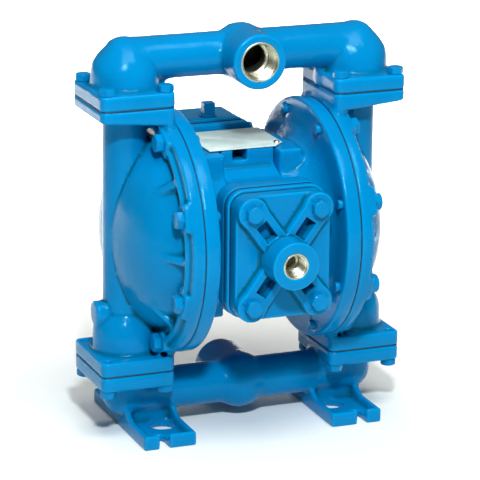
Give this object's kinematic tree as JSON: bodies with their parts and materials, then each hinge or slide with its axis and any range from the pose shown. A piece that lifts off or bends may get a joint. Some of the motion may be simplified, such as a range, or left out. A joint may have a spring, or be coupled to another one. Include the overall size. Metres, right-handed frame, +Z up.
{
  "type": "air operated diaphragm pump",
  "caption": "Air operated double diaphragm pump with ball check valves, cast chambers, bolted pipe manifolds, air inlet cap and rear air valve.",
  "frame": {"origin": "centre of the four foot holes, in the plane the feet stand on", "axes": "+X along the diaphragm rod to the right, -Y towards the air inlet, +Z up"},
  "size_m": [0.2744, 0.2471, 0.3485],
  "materials": {
    "blue_enamel": "gloss",
    "blue_fasteners": "gloss",
    "nameplate_metal": "satin",
    "steel": "satin",
    "bronze": "satin",
    "black_rubber": "matte",
    "gasket_rubber": "matte",
    "valve_aluminium": "satin",
    "plate_aluminium": "satin",
    "spool_plastic": "satin",
    "muffler_plastic": "matte"
  },
  "bodies": {
    "pump_casing": {"outer_chamber_right": "blue_enamel", "outer_chamber_left": "blue_enamel", "inner_chamber_right": "blue_enamel", "inner_chamber_left": "blue_enamel", "centre_body": "blue_enamel", "body_gasket": "gasket_rubber", "pilot_valve_body": "blue_enamel", "cap_gasket": "gasket_rubber", "air_inlet_cap": "blue_enamel", "discharge_manifold": "blue_enamel", "suction_manifold": "blue_enamel", "suction_seats": "valve_aluminium", "discharge_seats": "valve_aluminium", "seat_seals": "black_rubber", "diaphragm_right": "black_rubber", "diaphragm_left": "black_rubber", "rod_bushings": "bronze", "rod_seals": "black_rubber", "diaphragm_bumpers": "black_rubber", "plunger_bushings": "bronze", "main_valve_end_caps": "blue_enamel", "pilot_sleeve": "valve_aluminium", "main_valve_body": "blue_enamel", "main_valve_gasket": "gasket_rubber", "main_valve_sleeve": "valve_aluminium", "square_plug": "blue_fasteners", "muffler": "muffler_plastic", "nameplate": "nameplate_metal", "nameplate_screws": "steel", "chamber_bolts": "blue_fasteners", "discharge_flange_bolts": "blue_fasteners", "suction_flange_bolts": "blue_fasteners", "inlet_cap_bolts": "blue_fasteners", "inner_chamber_screws": "steel", "main_valve_screws": "blue_fasteners", "end_cap_screws": "blue_fasteners"},
    "rod_train": {"diaphragm_rod": "steel", "inner_plate_right": "plate_aluminium", "inner_plate_left": "plate_aluminium", "outer_plate_right": "plate_aluminium", "outer_plate_left": "plate_aluminium", "rod_nuts": "steel", "rod_washers": "steel"},
    "pilot_spool": {"pilot_spool": "spool_plastic"},
    "plunger_right": {"plunger_right": "steel"},
    "plunger_left": {"plunger_left": "steel"},
    "main_valve_spool": {"main_valve_spool": "spool_plastic"},
    "suction_ball_right": {"suction_ball_right": "black_rubber"},
    "suction_ball_left": {"suction_ball_left": "black_rubber"},
    "discharge_ball_right": {"discharge_ball_right": "black_rubber"},
    "discharge_ball_left": {"discharge_ball_left": "black_rubber"}
  },
  "joints": [
    {"name": "rod_slide", "type": "slide", "parent": "pump_casing", "child": "rod_train", "axis": [1, 0, 0], "range_m": [-0.011, 0.011], "deforming": ["diaphragm_right", "diaphragm_left"]},
    {"name": "pilot_spool_slide", "type": "slide", "parent": "pump_casing", "child": "pilot_spool", "axis": [1, 0, 0], "range_m": [-0.004, 0.004]},
    {"name": "plunger_right_slide", "type": "slide", "parent": "pump_casing", "child": "plunger_right", "axis": [1, 0, 0], "range_m": [-0.004, 0.004]},
    {"name": "plunger_left_slide", "type": "slide", "parent": "pump_casing", "child": "plunger_left", "axis": [1, 0, 0], "range_m": [-0.004, 0.004]},
    {"name": "main_valve_spool_slide", "type": "slide", "parent": "pump_casing", "child": "main_valve_spool", "axis": [1, 0, 0], "range_m": [-0.006, 0.006]},
    {"name": "suction_ball_right_lift", "type": "slide", "parent": "pump_casing", "child": "suction_ball_right", "axis": [0, 0, 1], "range_m": [0, 0.008]},
    {"name": "suction_ball_left_lift", "type": "slide", "parent": "pump_casing", "child": "suction_ball_left", "axis": [0, 0, 1], "range_m": [0, 0.008]},
    {"name": "discharge_ball_right_lift", "type": "slide", "parent": "pump_casing", "child": "discharge_ball_right", "axis": [0, 0, 1], "range_m": [0, 0.008]},
    {"name": "discharge_ball_left_lift", "type": "slide", "parent": "pump_casing", "child": "discharge_ball_left", "axis": [0, 0, 1], "range_m": [0, 0.008]}
  ],
  "couplings": [
    {"joint": "pilot_spool_slide", "follows": "rod_slide", "ratio": 0.3636},
    {"joint": "plunger_right_slide", "follows": "rod_slide", "ratio": 0.3636},
    {"joint": "plunger_left_slide", "follows": "rod_slide", "ratio": 0.3636}
  ]
}
